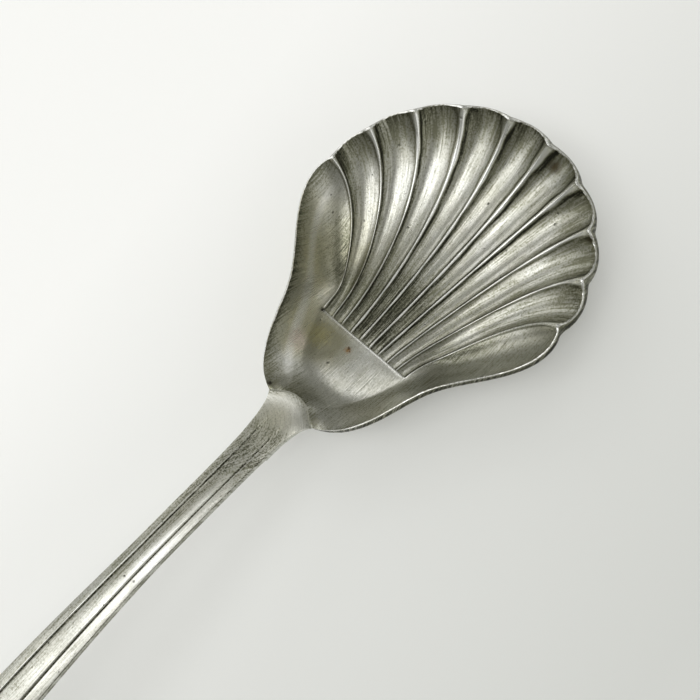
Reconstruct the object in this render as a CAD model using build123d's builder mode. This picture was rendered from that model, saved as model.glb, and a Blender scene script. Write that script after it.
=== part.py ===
from build123d import *
import os
from math import cos, exp, radians, sin

# Sugar spoon with a shell bowl, lying on a table: +X to the bowl's tip, +Z up, table at z = 0.
# All lengths are in millimetres. Along the bowl, places are measured from the hinge line,
# where the flutes begin, and moved to the middle of the whole spoon at the end.

# Fan of flutes
flute_count = 9
fan_radius = 20.0             # circle through the notches of the rim
fan_setback = 16.5            # hinge line to the middle of that circle
fan_half_angle = 88.0         # outermost ridges, degrees from the spoon's axis
hinge_half_width = 8.0
hinge_height = 3.3            # tops of the outermost ridges at the hinge line
hinge_sag = 0.62              # the middle of that line lies lower
rim_height = 8.85
lead_length = 6.8             # ridges leave the hinge line side by side
lead_spread = 1.14
lead_height = 1.4
floor_setback = 0.5           # ridges fan out on the floor of the bowl
floor_reach = 18.3
floor_half_width = 8.8
floor_height = 0.0
wall_reach = 14.5             # ridges turn up into the wall below the rim
wall_half_width = 13.0
wall_height = 1.3
hinge_flute_depth = 0.35
lead_flute_depth = 0.45
floor_flute_depth = 0.6
wall_flute_depth = 0.7
scallop_bulge = 1.45          # a flute's rim stands out from the line between its notches
scallop_dip = 1.0             # and lies lower than they do

# Smooth wings beside the fan, and their rim
hinge_rim_half_width = 12.6   # rim beside the hinge line
wing_rim_lead = 4.3           # how far the rim keeps the direction of the heel
wing_rim_flare = 2.24
wing_waist_x = 7.6            # the rim swings out
wing_waist_half_width = 19.2
wing_crest_x = 12.6           # and over the widest place
wing_crest_half_width = 22.3
wing_notch_gap = 0.6          # end of the wing's rim, short of the outermost notch
wing_dip = 0.5
wing_hollow = 0.4
wing_wall_upper = 0.38        # places between the rim and the ridge, as shares of the way
wing_wall_lower = 0.75
wing_wall_rise = 0.30

# Plain heel between the hinge line and the neck
heel_length = 13.4
heel_side_half_width = 10.9   # its wall beside the hinge line
heel_side_height = 5.6
heel_foot_half_width = 9.3
heel_foot_height = 3.85
heel_floor_run = 1.5          # the floor carries on the slope of the wall's foot
shoulder_setback = 2.4        # rounded shoulders beside the neck, measured from the neck
shoulder_half_width = 9.75
shoulder_wall_setback = 4.0
shoulder_wall_half_width = 7.2
shoulder_foot_half_width = 5.0
shoulder_floor_half_width = 3.6
shoulder_wall_height = 5.6
shoulder_foot_height = 4.8
shoulder_floor_height = 4.5

# Sheet of the bowl
sheet = 0.95
rim_edge = 0.45
rim_edge_drop = 0.45
rib_share = 0.6               # how much of a flute's depth shows on the back

# Neck, where the handle's tongue is soldered into a step of the bowl
neck_half_width = 4.1
neck_height = 9.2
neck_bow = 2.0                # the joint line bows towards the bowl
joint_bow_shares = (0, 0.25, 0.5, 0.72)       # left part of that line, as shares of its bow
joint_width_shares = (1, 0.83, 0.68, 0.49)    # and of the neck's half width
tongue_edge = 0.7             # thickness of the tongue at its front
solder_film = 0.15
solder_recess = 0.1           # the seam lies a little below the faces beside it
tab_length = 7.5
tab_margin = 0.7
tab_end_margin = 0.45
tab_overlap = 0.4
tab_corner = 1.2
tab_end_gap = 0.3             # the stem is notched a little past the tab's end

# Handle
handle_length = 100.4
arch_start = 6.4              # the tongue runs level, then the handle climbs
arch_rise_x = 42.6            # arch of the top of the handle, measured from the neck
arch_rise_height = 22.2
arch_crest_x = 69.6
arch_crest_height = 23.3
arch_fall_x = 80.6
arch_fall_height = 9.0
handle_end_height = 1.5
stem_half_width = 2.25
stem_thickness = 2.7
blade_half_width = 5.4        # widest place, near the end
blade_thickness = 1.6
flare_length = 4.0            # the tongue narrows into the stem
end_round = 8.0               # length over which the end is rounded
widen_start = 26.0            # the stem widens from here to the end, measured from the neck
widen_power = 1.1
end_blunt = 0.35
side_wall_share = 0.45        # upright part of the edge, as a share of the thickness
edge_drop = 0.4               # the outer bevels slope down to the edges
crown = 0.12
line_share = 0.5              # engraved lines, as a share of the half width
line_half_width = 0.2
line_depth = 0.2
line_start = 5.0              # the lines and bevels come out of the flat tongue
line_fade = 6.0
faint_line = 0.02             # least depth of the lines, bevels and crown, at the flat tongue
section_steps = 18            # cross-sections along the handle, closer together towards its end

tab_top = neck_height - tongue_edge - solder_film
tab_bottom = tab_top - sheet
tongue_bottom = tab_top + solder_film
flute_angle = 2 * fan_half_angle / flute_count
tip_reach = fan_setback + fan_radius * cos(radians(flute_angle / 2)) + scallop_bulge + rim_edge
overall_length = tip_reach + heel_length + handle_length
hinge_x = overall_length / 2 - tip_reach
neck_x = hinge_x - heel_length

# Directions from the upper face of the sheet to its back, on the left side
down = Vector(0, 0, -1)
wall_normal = Vector(0, 0.6, -0.8)
foot_normal = Vector(0, 0.3, -0.95)
heel_normal = Vector(-0.5, 0.2, -0.85)


def mirrored(rows):
    """The same control points on the other side of the spoon's axis."""
    return [[Vector(p.X, -p.Y, p.Z) for p in row] for row in rows]


def column(rows, index):
    return [row[index] for row in rows]


def patch(rows):
    return Face.make_bezier_surface(rows)


def ruled(first_line, second_line):
    return patch([first_line, second_line])


def share_of_fan(ridge):
    """1 at the left outermost ridge, -1 at the right one."""
    return 1 - 2 * ridge / flute_count


def outward(share):
    """Level direction from the middle of the rim's circle to a place on the fan."""
    angle = radians(fan_half_angle * share)
    return Vector(cos(angle), sin(angle), 0)


def ridge_points(share):
    """Control points of a ridge's top, from the hinge line to its notch in the rim."""
    out = outward(share)
    hinge_y = hinge_half_width * share
    floor_x = hinge_x + floor_setback + floor_reach * out.X
    fan_x = hinge_x + fan_setback
    return [
        Vector(hinge_x, hinge_y, hinge_height - hinge_sag * (1 - share ** 2)),
        Vector(hinge_x + lead_length, hinge_y * lead_spread, lead_height),
        Vector(floor_x, floor_half_width * out.Y, floor_height),
        Vector(fan_x + wall_reach * out.X, wall_half_width * out.Y, wall_height),
        Vector(fan_x + fan_radius * out.X, fan_radius * out.Y, rim_height),
    ]


def flute_depths(share):
    """How far the middle of a flute lies below and outside the line between its ridges."""
    out = outward(share)
    slant = (out + down).normalized()
    rim = out * scallop_bulge + down * scallop_dip
    return [down * hinge_flute_depth, down * lead_flute_depth, down * floor_flute_depth,
            slant * wall_flute_depth, rim]


def sheet_offsets(share):
    """From the upper face of the sheet to the lower one, along a ridge."""
    out = outward(share)
    slant = (out + down).normalized()
    rim = out * rim_edge + down * rim_edge_drop
    return [down * sheet, down * sheet, down * sheet, slant * sheet, rim]


def back_ridge_points(share):
    """The same ridge on the back of the bowl, where the flutes are shallower."""
    lines = zip(ridge_points(share), sheet_offsets(share), flute_depths(share))
    return [top + offset + depth * (1 - rib_share) for top, offset, depth in lines]


def flute_rows(ridge, points_of, depth_share):
    left, right = points_of(share_of_fan(ridge)), points_of(share_of_fan(ridge + 1))
    depths = flute_depths(share_of_fan(ridge + 0.5))
    rows = []
    for a, b, depth in zip(left, right, depths):
        rows.append([a, (a + b) * 0.5 + depth * (2 * depth_share), b])
    return rows


def wing_rows():
    """Left wing: rows from the hinge line to the notch, each from the rim to the outermost ridge."""
    ridge = ridge_points(1)
    rim = [
        Vector(hinge_x, hinge_rim_half_width, rim_height),
        Vector(hinge_x + wing_rim_lead, hinge_rim_half_width + wing_rim_flare, rim_height),
        Vector(hinge_x + wing_waist_x, wing_waist_half_width, rim_height - wing_dip / 2),
        Vector(hinge_x + wing_crest_x, wing_crest_half_width, rim_height - wing_dip),
        ridge[4] + Vector(-wing_notch_gap, wing_notch_gap, 0),
    ]
    rows = [[
        rim[0],
        Vector(hinge_x, heel_side_half_width, heel_side_height),
        Vector(hinge_x, heel_foot_half_width, heel_foot_height),
        ridge[0],
    ]]
    for k in (1, 2, 3):
        run = ridge[k] - rim[k]
        upper = rim[k] + run * wing_wall_upper
        lower = rim[k] + run * wing_wall_lower
        upper.Z = ridge[k].Z - run.Z * wing_wall_rise
        lower.Z = ridge[k].Z - wing_hollow
        rows.append([rim[k], upper, lower, ridge[k]])
    rows.append([rim[4] + (ridge[4] - rim[4]) * (step / 3) for step in range(4)])
    return rows


def back_wing_rows():
    back_ridge = back_ridge_points(1)
    rows = []
    for row, ridge in zip(wing_rows(), back_ridge):
        rows.append([
            row[0] + Vector(0, rim_edge, -rim_edge_drop),
            row[1] + wall_normal * sheet,
            row[2] + foot_normal * sheet,
            ridge,
        ])
    last_rim = rows[4][0]
    rows[4] = [last_rim + (back_ridge[4] - last_rim) * (step / 3) for step in range(4)]
    return rows


def joint_line():
    """Left part of the bowed line where the bowl's heel meets the handle's tongue."""
    shares = zip(joint_bow_shares, joint_width_shares)
    return [Vector(neck_x + neck_bow * bow, neck_half_width * width, neck_height) for bow, width in shares]


def heel_side_rows():
    """Left side of the heel: rows from the hinge line to the neck, smooth with the wing."""
    wing = wing_rows()
    first = wing[0]
    second = [a * 2 - b for a, b in zip(wing[0], wing[1])]
    wall_x = neck_x + shoulder_wall_setback
    third = [
        Vector(neck_x + shoulder_setback, shoulder_half_width, rim_height),
        Vector(wall_x, shoulder_wall_half_width, shoulder_wall_height),
        Vector(wall_x, shoulder_foot_half_width, shoulder_foot_height),
        Vector(wall_x, shoulder_floor_half_width, shoulder_floor_height),
    ]
    return [first, second, third, joint_line()]


def back_heel_side_rows():
    wing = back_wing_rows()
    inner = heel_side_rows()
    first = wing[0]
    second = [a * 2 - b for a, b in zip(wing[0], wing[1])]
    third = [inner[2][0] + Vector(0, rim_edge, -rim_edge_drop)]
    third += [p + heel_normal * sheet for p in inner[2][1:]]
    last = [Vector(p.X, p.Y, tab_bottom) for p in inner[3]]
    return [first, second, third, last]


def heel_floor_rows(side_rows):
    """Middle of the heel, smooth with both of its sides."""
    rows = []
    for row in side_rows:
        edge = row[3]
        inner = edge + (edge - row[2]) * heel_floor_run
        rows.append([edge, inner, Vector(inner.X, -inner.Y, inner.Z), Vector(edge.X, -edge.Y, edge.Z)])
    return rows


def section_face(lines):
    """Flat face inside lines of control points that follow each other round it."""
    return Face(Wire([Edge.make_bezier(*line) for line in lines]))


def fan_solid():
    """The fluted part of the bowl with its wings, in front of the hinge line."""
    faces = []
    base_top, base_back = [], []
    for ridge in range(flute_count):
        top = flute_rows(ridge, ridge_points, 1)
        back = flute_rows(ridge, back_ridge_points, rib_share)
        faces += [patch(top), patch(back), ruled(top[4], back[4])]
        base_top.append(top[0])
        base_back.append(back[0])
    top, back = wing_rows(), back_wing_rows()
    for left, right in ((top, back), (mirrored(top), mirrored(back))):
        faces += [patch(left), patch(right), ruled(left[4], right[4])]
        faces.append(ruled(column(left, 0), column(right, 0)))
    top_right, back_right = mirrored(top), mirrored(back)
    outline = [top[0]] + base_top + [top_right[0], [top_right[0][0], back_right[0][0]]]
    outline += [back_right[0]] + base_back + [back[0], [back[0][0], top[0][0]]]
    faces.append(section_face(outline))
    return Solid(Shell(faces))


def heel_solid():
    """The plain part of the bowl behind the hinge line, up to the joint with the handle."""
    faces = []
    top, back = heel_side_rows(), back_heel_side_rows()
    floor, back_floor = heel_floor_rows(top), heel_floor_rows(back)
    top_right, back_right = mirrored(top), mirrored(back)
    for upper, lower in ((top, back), (floor, back_floor), (top_right, back_right)):
        faces += [patch(upper), patch(lower), ruled(upper[3], lower[3])]
    for upper, lower in ((top, back), (top_right, back_right)):
        faces.append(ruled(column(upper, 0), column(lower, 0)))
    outline = [top[0], floor[0], top_right[0], [top_right[0][0], back_right[0][0]]]
    outline += [back_right[0], back_floor[0], back[0], [back[0][0], top[0][0]]]
    faces.append(section_face(outline))
    return Solid(Shell(faces))


def draw_joint(shift):
    """Draws the joint line in plan, moved back by the shift, and gives its left and right ends."""
    side = [(p.X - shift, p.Y) for p in joint_line()]
    floor = [(p.X - shift, p.Y) for p in heel_floor_rows([joint_line()])[0]]
    other_side = [(x, -y) for x, y in side]
    Bezier(*side)
    Bezier(*floor)
    Bezier(*other_side)
    return side[0], other_side[0]


def handle_half_width(reach):
    """The tongue flares to the neck, and the blade widens towards its rounded end."""
    flare = (neck_half_width - stem_half_width) * exp(-reach / flare_length)
    widened = max(reach - widen_start, 0) / (handle_length - widen_start)
    half_width = stem_half_width + flare + (blade_half_width - stem_half_width) * widened ** widen_power
    to_end = handle_length - reach + end_blunt
    if to_end < end_round:
        half_width *= (1 - (1 - to_end / end_round) ** 2) ** 0.5
    return half_width


def tab_plan(forward):
    """Plan of the bowl's tab under the tongue, from the joint line moved forward to its narrow end."""
    front_x, end_x = neck_x + neck_bow + heel_length, neck_x - tab_length
    front_y, end_y = neck_half_width - tab_margin, stem_half_width - tab_end_margin
    with BuildSketch() as plan:
        with BuildLine():
            Polyline((neck_x, front_y), (end_x, end_y), (end_x, -end_y), (neck_x, -front_y),
                     (front_x, -front_y), (front_x, front_y), close=True)
        make_face()
        fillet(plan.vertices().group_by(Axis.X)[0], tab_corner)
        with BuildLine():
            left, right = draw_joint(-forward)
            Polyline(right, (end_x, right[1]), (end_x, left[1]), left)
        make_face(mode=Mode.INTERSECT)
    return plan.sketch


arch = Edge.make_bezier(
    (neck_x, 0, neck_height),
    (neck_x - arch_start, 0, neck_height),
    (neck_x - arch_rise_x, 0, arch_rise_height),
    (neck_x - arch_crest_x, 0, arch_crest_height),
    (neck_x - arch_fall_x, 0, arch_fall_height),
    (neck_x - handle_length, 0, handle_end_height),
)
stations = [Vector(neck_x + neck_bow + tab_overlap, 0, neck_height)]
stations += [arch @ sin(radians(90 * step / section_steps)) for step in range(section_steps + 1)]

with BuildPart() as bowl:
    add(fan_solid())
    add(heel_solid())
    with BuildSketch(Plane.XY.offset(tab_bottom)):
        add(tab_plan(tab_overlap))
    extrude(amount=sheet)
    split(bisect_by=Plane.XY, keep=Keep.TOP)

with BuildPart() as handle:
    for top in stations:
        reach = neck_x - top.X
        along = max(reach, 0) / handle_length
        fade = 1 - exp(-max(reach - line_start, 0) / line_fade)
        half_width = handle_half_width(reach)
        thickness = stem_thickness + (blade_thickness - stem_thickness) * along
        edge_z = top.Z - edge_drop * fade - faint_line
        wall_z = edge_z - thickness * side_wall_share
        lip_z = top.Z - crown * fade - faint_line
        line_y = half_width * line_share
        line_z = lip_z - line_depth * fade - faint_line
        inner_y, outer_y = line_y - line_half_width, line_y + line_half_width
        with BuildSketch(Plane.YZ.offset(top.X)):
            with BuildLine():
                ThreePointArc((-half_width, wall_z), (0, top.Z - thickness), (half_width, wall_z))
                Polyline((half_width, wall_z), (half_width, edge_z), (outer_y, lip_z), (line_y, line_z),
                         (inner_y, lip_z))
                ThreePointArc((inner_y, lip_z), (0, top.Z), (-inner_y, lip_z))
                Polyline((-inner_y, lip_z), (-line_y, line_z), (-outer_y, lip_z), (-half_width, edge_z),
                         (-half_width, wall_z))
            make_face()
    loft()
    clear_x, clear_y = neck_x + heel_length, hinge_rim_half_width
    with BuildSketch(Plane.XY):
        with BuildLine():
            left, right = draw_joint(solder_film)
            Polyline(right, (right[0], -clear_y), (clear_x, -clear_y), (clear_x, clear_y),
                     (left[0], clear_y), left)
        make_face()
    extrude(amount=arch_crest_height, mode=Mode.SUBTRACT)
    with Locations((neck_x + neck_bow, 0, tongue_bottom)):
        Box(neck_bow + tab_length + tab_end_gap, 2 * hinge_rim_half_width, tongue_bottom,
            align=(Align.MAX, Align.CENTER, Align.MAX), mode=Mode.SUBTRACT)
    split(bisect_by=Plane.XY, keep=Keep.TOP)

with BuildPart() as solder_seam:
    with BuildSketch(Plane.XY.offset(tab_top)):
        add(tab_plan(0))
    extrude(amount=solder_film)
    with BuildSketch(Plane.XY.offset(tab_top)):
        with BuildLine():
            left, right = draw_joint(0)
            back_left, back_right = draw_joint(solder_film)
            Line(left, back_left)
            Line(right, back_right)
        make_face()
    extrude(amount=neck_height - solder_recess - tab_top)

os.makedirs("parts", exist_ok=True)
bowl.part.label = "bowl"
handle.part.label = "handle"
solder_seam.part.label = "solder_seam"
export_step(bowl.part, "parts/bowl.step")
export_step(handle.part, "parts/handle.step")
export_step(solder_seam.part, "parts/solder_seam.step")
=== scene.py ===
from math import comb

import bmesh
import bpy
import numpy as np
from mathutils import Euler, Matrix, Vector


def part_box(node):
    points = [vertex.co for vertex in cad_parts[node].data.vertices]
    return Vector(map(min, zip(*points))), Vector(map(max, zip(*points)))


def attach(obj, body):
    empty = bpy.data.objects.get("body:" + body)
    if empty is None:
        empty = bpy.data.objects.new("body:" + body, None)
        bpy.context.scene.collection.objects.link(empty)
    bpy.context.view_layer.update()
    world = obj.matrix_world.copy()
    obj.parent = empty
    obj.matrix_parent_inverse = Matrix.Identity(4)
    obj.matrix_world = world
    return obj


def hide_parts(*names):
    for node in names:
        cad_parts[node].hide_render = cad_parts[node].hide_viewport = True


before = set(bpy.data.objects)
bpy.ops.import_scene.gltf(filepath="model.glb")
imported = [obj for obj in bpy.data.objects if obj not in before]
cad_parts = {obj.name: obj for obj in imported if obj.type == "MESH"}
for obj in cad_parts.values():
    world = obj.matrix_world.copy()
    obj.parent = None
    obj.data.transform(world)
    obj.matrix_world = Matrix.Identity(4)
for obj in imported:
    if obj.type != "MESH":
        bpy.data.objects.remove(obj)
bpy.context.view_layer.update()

mm = 0.001  # shapes are written in millimetres and stored in metres
mirrorY = np.array([1.0, -1.0, 1.0])
slant = 0.5 ** 0.5  # share of a 45 degree direction that goes out, and down
scene = bpy.context.scene
print("frame loaded with", ", ".join(sorted(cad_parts)))


# Bernstein weights (n over k) t^k (1-t)^(n-k), one row for each t
def bernstein(degree, t):
    t = np.asarray(t, float)[:, None]
    k = np.arange(degree + 1)
    return np.array([comb(degree, i) for i in k]) * t ** k * (1 - t) ** (degree - k)


# Bezier curve: Bernstein weights times control points, which are stacked on the first axis
def bezierCurve(controls, t):
    return np.einsum("tk,k...->t...", bernstein(len(controls) - 1, t), controls)


# Bezier sheet: the same sum along the rows (u) and along the columns (v) of a control grid
def bezierSheet(controls, u, v):
    rows, columns = controls.shape[:2]
    return np.einsum("ui,vj,ijk->uvk", bernstein(rows - 1, u), bernstein(columns - 1, v), controls)


# Distances between points, for whole arrays
def distance(first, second):
    return np.linalg.norm(first - second, axis=-1)


# Rows over the rim: shares of the way out and of the way down, from the inner edge to the outer one
def rimStrip(inner, outer):
    share = np.array(bowlShape["rimProfile"])
    return inner + (outer - inner) * share[:, [0, 0, 1]][:, None]


# Steps from 0 to 1 that lie closer together at both ends: half a cosine wave
def closeEnds(count):
    return 0.5 - 0.5 * np.cos(np.pi * np.arange(count + 1) / count)


# Bell curve: e to the power of minus the squared share of the reach; higher powers have a flatter top
def bell(away, reach, power=2):
    return np.exp(-(away / reach) ** power)


# 1 for most of the way and 0 at the end: one less a fourth power
def fadeOut(share):
    return 1 - share ** 4


# Quads between neighbours of a grid of points numbered row by row
def gridQuads(rows, columns, start):
    i = np.arange(rows * columns).reshape(rows, columns) + start
    return np.stack([i[:-1, :-1], i[1:, :-1], i[1:, 1:], i[:-1, 1:]], -1).reshape(-1, 4)


def addObject(name, data):
    thing = bpy.data.objects.new(name, data)
    scene.collection.objects.link(thing)
    return thing


# One mesh from grids of points with their brush values and their grime and shading values: seams welded, faces turned
# outwards
def weldedPiece(name, grids, weld=0.0005 * mm, sharpAngle=50):
    points, brushes, grimeAndShadingValues, faces, start = [], [], [], [], 0
    for grid in grids:
        rows, columns = grid["points"].shape[:2]
        points.append(grid["points"].reshape(-1, 3))
        brushes.append(grid["brush"].reshape(-1, 3))
        grimeAndShadingValues.append(np.broadcast_to(grid["grime"], (rows, columns)).ravel())
        faces.append(gridQuads(rows, columns, start))
        start += rows * columns
    mesh = bpy.data.meshes.new(name)
    mesh.from_pydata((np.concatenate(points) * mm).tolist(), [], np.concatenate(faces).tolist())
    layers = (("brush", "FLOAT_VECTOR", "vector", brushes), ("grime", "FLOAT", "value", grimeAndShadingValues))
    for label, kind, field, values in layers:
        layer = mesh.attributes.new(label, kind, "POINT")
        layer.data.foreach_set(field, np.concatenate(values).astype(np.float32).ravel())
    work = bmesh.new()
    work.from_mesh(mesh)
    bmesh.ops.remove_doubles(work, verts=work.verts, dist=weld)
    bmesh.ops.dissolve_degenerate(work, edges=work.edges, dist=weld)
    bmesh.ops.recalc_face_normals(work, faces=work.faces)
    openEdges = sum(not edge.is_manifold for edge in work.edges)
    work.to_mesh(mesh)
    work.free()
    mesh.shade_smooth()
    mesh.set_sharp_from_angle(angle=np.radians(sharpAngle))
    print(name, "has", len(mesh.polygons), "faces and", openEdges, "open edges")
    return addObject(name, mesh)


# A grid with brush marks along the spoon, which is how most of it was polished
def plainGrid(points, grime=0.0):
    return {"points": points, "brush": points[..., [1, 0, 2]], "grime": np.asarray(grime, float)}


# Bowl: nine flutes fan out from the hinge line, with a smooth wing on each side and a plain heel
bowlShape = {
    "flutes": 9,
    "rimRadius": 20.0,  # circle through the notches of the rim
    "fanSetback": 16.5,  # hinge line to the middle of that circle
    "fanHalfAngle": 88.0,
    "rimHeight": 8.85,
    "hingeHalfWidth": 8.0, "hingeHeight": 3.3, "hingeSag": 0.62,  # the middle of the hinge line lies lower
    "leadLength": 6.8, "leadSpread": 1.14, "leadHeight": 1.4,  # ridges leave it side by side,
    "floorSetback": 0.5, "floorReach": 18.3, "floorHalfWidth": 8.8, "floorHeight": 0.0,  # fan out over the bottom
    "wallReach": 14.5, "wallHalfWidth": 13.0, "wallHeight": 1.3,  # and turn up into the wall
    "fluteOut": (0, 0, 0, 0.7 * slant, 1.45),  # middle of a flute, out from its ridges
    "fluteDown": (0.35, 0.45, 0.6, 0.7 * slant, 1.0),
    "fluteBrush": 2.4,  # width that a flute has for the brush marks
    "ribPlaces": (0, 0.6, 1),  # along the ribs: hinge line, floor, rim
    "ribRound": (0.05, 0.10, 0.25),  # rounding of the ribs there
    "ribSteep": (2.0, 2.1, 2.2),  # power of the flutes' profile there, 2 for a parabola
    "barPlaces": (0.0, 0.03, 0.3, 0.6, 0.8, 0.94, 1.0),  # bars raised along the ribs, hinge line to rim
    "barHeight": (0.0, 0.12, 0.13, 0.17, 0.22, 0.24, 0.22),
    "barHalfWidth": (0.20, 0.20, 0.21, 0.27, 0.38, 0.5, 0.55),
    "barShares": (0.6, 0.6, 0.8, 1.1, 1.0, 1.1, 1.0, 0.75, 0.6, 0.6),  # how broad each one is, left to right
    "barWobble": (0.14, 26.0, 1.7, 0.10, 61.0, 2.9),  # struck unevenly: two waves along, shifted from rib to rib
    "capStart": 0.92, "capHalfWidth": 0.45,  # they spread into caps at the rim
    "sheetOut": (0, 0, 0, 0.95 * slant, 0.43),  # upper face to back
    "sheetDown": (0.95, 0.95, 0.95, 0.95 * slant, 0.8),
    "ribShare": 0.6,  # how much of the flutes shows on the back
    "rimProfile": ((0, 0), (0.3, 0), (0.42, 0.08), (0.7, 0.4), (0.9, 0.75), (1, 1)),  # shares out and down
    "lip": 0.12, "lipReach": 0.8,  # the rim is a little thicker than the wall
}
# Grime and painted light, from 0 to 1: dirt and painted shade beside the bars, painted shade on one side of the flutes,
# darker near the hinge line and under the rim; below 0 a painted highlight, partly on the rubbed tops of the bars
bowlGrimeAndShading = {
    "creaseBefore": (0.2, 0.2, 0.2, 0.2, 0.3, 0.6, 0.8, 1.0, 1.0, 0.9),  # left of each bar
    "creaseAfter": (0.9, 1.0, 1.0, 0.9, 0.9, 0.9, 0.9, 0.3, 0.2, 0.2),  # right of it
    "creaseWidth": (0.15, 0.25),  # at the hinge line and at the rim
    "creaseFoot": 1.25,  # from the middle of the bar, in half widths
    "creaseGain": 1.4,
    "barHighlight": 0.8, "barHighlightWidth": 0.8,  # painted highlight on the rubbed top of the bar, over a share of its half width
    "flankShadeBefore": (0, 0, 0, 0, 0, 0, 0.35, 0.8, 0.8),  # painted shade on the left side of each flute's right rib
    "flankShadeAfter": (0.9, 0.9, 0.9, 0.9, 0.9, 0.9, 0.7, 0, 0),  # painted shade on the right side of its left rib
    "flankShadeReach": 0.42,
    "flankShadePlaces": (0, 0.35, 0.7, 1),
    "flankShadeShare": (0.30, 0.40, 0.60, 0.75),
    "deep": (0.60, 0.65, 0.78, 0.92, 0.95, 0.85, 0.45, 0.15, 0),  # each flute near the hinge line
    "deepPlaces": (0, 0.06, 0.3, 0.5),
    "deepShare": (0.6, 1, 0.85, 0),
    "film": (0, 0, 0, 0, 0, 0.05, 0.15, 0.25, 0.25),  # all over each flute
    "tip": (0.85, 0.85, 0.85, 0.85, 0.8, 0.62, 0.5, 0.45, 0.6),  # under the rim
    "tipReach": 4.2, "tipSlant": 0.35,
    "wingRim": 0.3, "wingReach": 2.4,
    "leftShading": ((0.45, 0, 1.8), (-0.38, 3.8, 1.2)),  # painted shade bands on each side, a painted highlight where the amount is below 0: amount, distance from the rim, reach
    "rightShading": ((0.35, 4.6, 1.6),),
    "wingFoot": 0.75, "wingFootReach": 3.6,  # beside the middle part of the outermost rib
    "wingFootPlaces": (0.15, 0.4, 0.6, 0.78), "wingFootShare": (0, 1, 1, 0),
    "rimFace": (-0.4, -0.6, 0.6, 1, 1, 1),  # over the rim's profile: a painted highlight on the inner edge, darker on the outer face
    # painted highlight along the heel's front edge at the hinge line
    "hingeHighlight": 0.7,
    "hingeWall": 0.6,  # on the step between heel and flutes
    "joint": 0.55, "jointReach": 1.3,  # on the heel beside the tongue
    "back": 0.12,
}
wingShape = {
    "hingeRimHalfWidth": 12.6,
    "rimLead": 4.3, "rimFlare": 2.24,
    "waist": (7.6, 19.2),  # the rim swings out here
    "crest": (12.6, 22.3),  # and is widest near here
    "notchGap": 0.6,
    "dip": 0.5, "dipShares": (0, 0, 0.5, 1, 0),  # the rim lies lower along the crest
    "hollow": 0.2,
    "upperShare": 0.38, "lowerShare": 0.75, "wallRise": 0.30,  # wall between the rim and the outermost ridge
    "heelSide": (10.9, 5.6),  # wall beside the hinge line: half width, height
    "heelFoot": (9.3, 3.85),
    "wallOffset": (0, 0.6, -0.8),  # directions from the upper face to the back
    "footOffset": (0, 0.3, -0.95),
}
heelShape = {
    "length": 13.4, "floorRun": 1.5,
    "shoulder": (2.4, 9.75),  # rounded shoulders beside the neck: setback, half width
    "wallSetback": 4.0,
    "wallHalfWidths": (7.2, 5.0, 3.6),
    "wallHeights": (5.6, 4.8, 4.5),
    "neckHalfWidth": 4.1, "neckHeight": 9.2,
    "bow": 2.0,  # the joint line bows towards the bowl
    "bowShares": (0, 0.25, 0.5, 0.72),
    "widthShares": (1, 0.83, 0.68, 0.49),
    "backOffset": (-0.5, 0.2, -0.85),
    "sheet": 0.95,
    "rimEdge": (0, 0.44, -0.8),
    "edgeSoft": 0.5, "edgeSoftReach": 2.6,  # the edge between heel and tongue is polished round
    "hingeLip": 0.1177, "hingeLipReach": 0.25,  # the heel's front edge stands up a little
    "hingeLipEnds": 40,  # power by which it dies out at both ends
}
jointShape = {
    "tongueEdge": 0.7,
    "film": 0.15,  # solder between the tongue and the tab
    "sunk": 0.01,  # seam below the faces beside it
    "tabLength": 7.5, "tabMargin": 0.45, "tabOverlap": 0.15, "tabGap": 0.3,
}
steps = {
    "along": 64, "flute": 40, "wing": 34, "heel": 26, "wall": 3, "tab": 12,
    "tongue": 24, "stem": 110, "end": 40, "panel": 8,
    "rimCrowding": 1.4,  # power that brings the rows closer together at the rim
    "floorSamples": 801, "archSamples": 4001,  # points on curves in which places are looked up
}

handleLength = 100.4  # from the neck, along the table
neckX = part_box("handle")[0].x / mm + handleLength
hingeX = neckX + heelShape["length"]
tabTop = heelShape["neckHeight"] - jointShape["tongueEdge"] - jointShape["film"]
tabBottom = tabTop - heelShape["sheet"]
tongueBottom = tabTop + jointShape["film"]
atHinge = np.array([hingeX, 0.0, 0.0])
atNeck = np.array([neckX, 0.0, 0.0])


# Share of the fan at a place counted in flutes, from 1 on the left to -1 on the right
def fanShare(place):
    return 1 - 2 * place / bowlShape["flutes"]


# Control vectors that point outwards from the fan's middle and down, by the given amounts
def outAndDown(share, outs, downs):
    angle = np.radians(bowlShape["fanHalfAngle"]) * share
    outs, downs = np.array(outs)[:, None], np.array(downs)[:, None]
    return np.stack([outs * np.cos(angle), outs * np.sin(angle), -downs + 0 * angle], -1)


# Control points of the ridge line at a share of the fan: by shares at the hinge line, by angles from the floor on;
# on the back they are moved by the sheet's thickness, and closer to the flutes' middles
def ridgeControls(share, back):
    b = bowlShape
    angle = np.radians(b["fanHalfAngle"]) * share
    ahead, aside, level = np.cos(angle), np.sin(angle), np.ones_like(angle)
    hingeY = b["hingeHalfWidth"] * share
    x = [0 * level, b["leadLength"] * level, b["floorSetback"] + b["floorReach"] * ahead,
         b["fanSetback"] + b["wallReach"] * ahead, b["fanSetback"] + b["rimRadius"] * ahead]
    y = [hingeY, hingeY * b["leadSpread"], b["floorHalfWidth"] * aside, b["wallHalfWidth"] * aside,
         b["rimRadius"] * aside]
    z = [b[key] * level for key in ("hingeHeight", "leadHeight", "floorHeight", "wallHeight", "rimHeight")]
    z[0] = z[0] - b["hingeSag"] * (1 - share ** 2)
    controls = np.stack([x, y, z], -1) + atHinge
    if back:
        controls += outAndDown(share, b["sheetOut"], b["sheetDown"])
        controls += (1 - b["ribShare"]) * outAndDown(share, b["fluteOut"], b["fluteDown"])
    return controls


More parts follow.
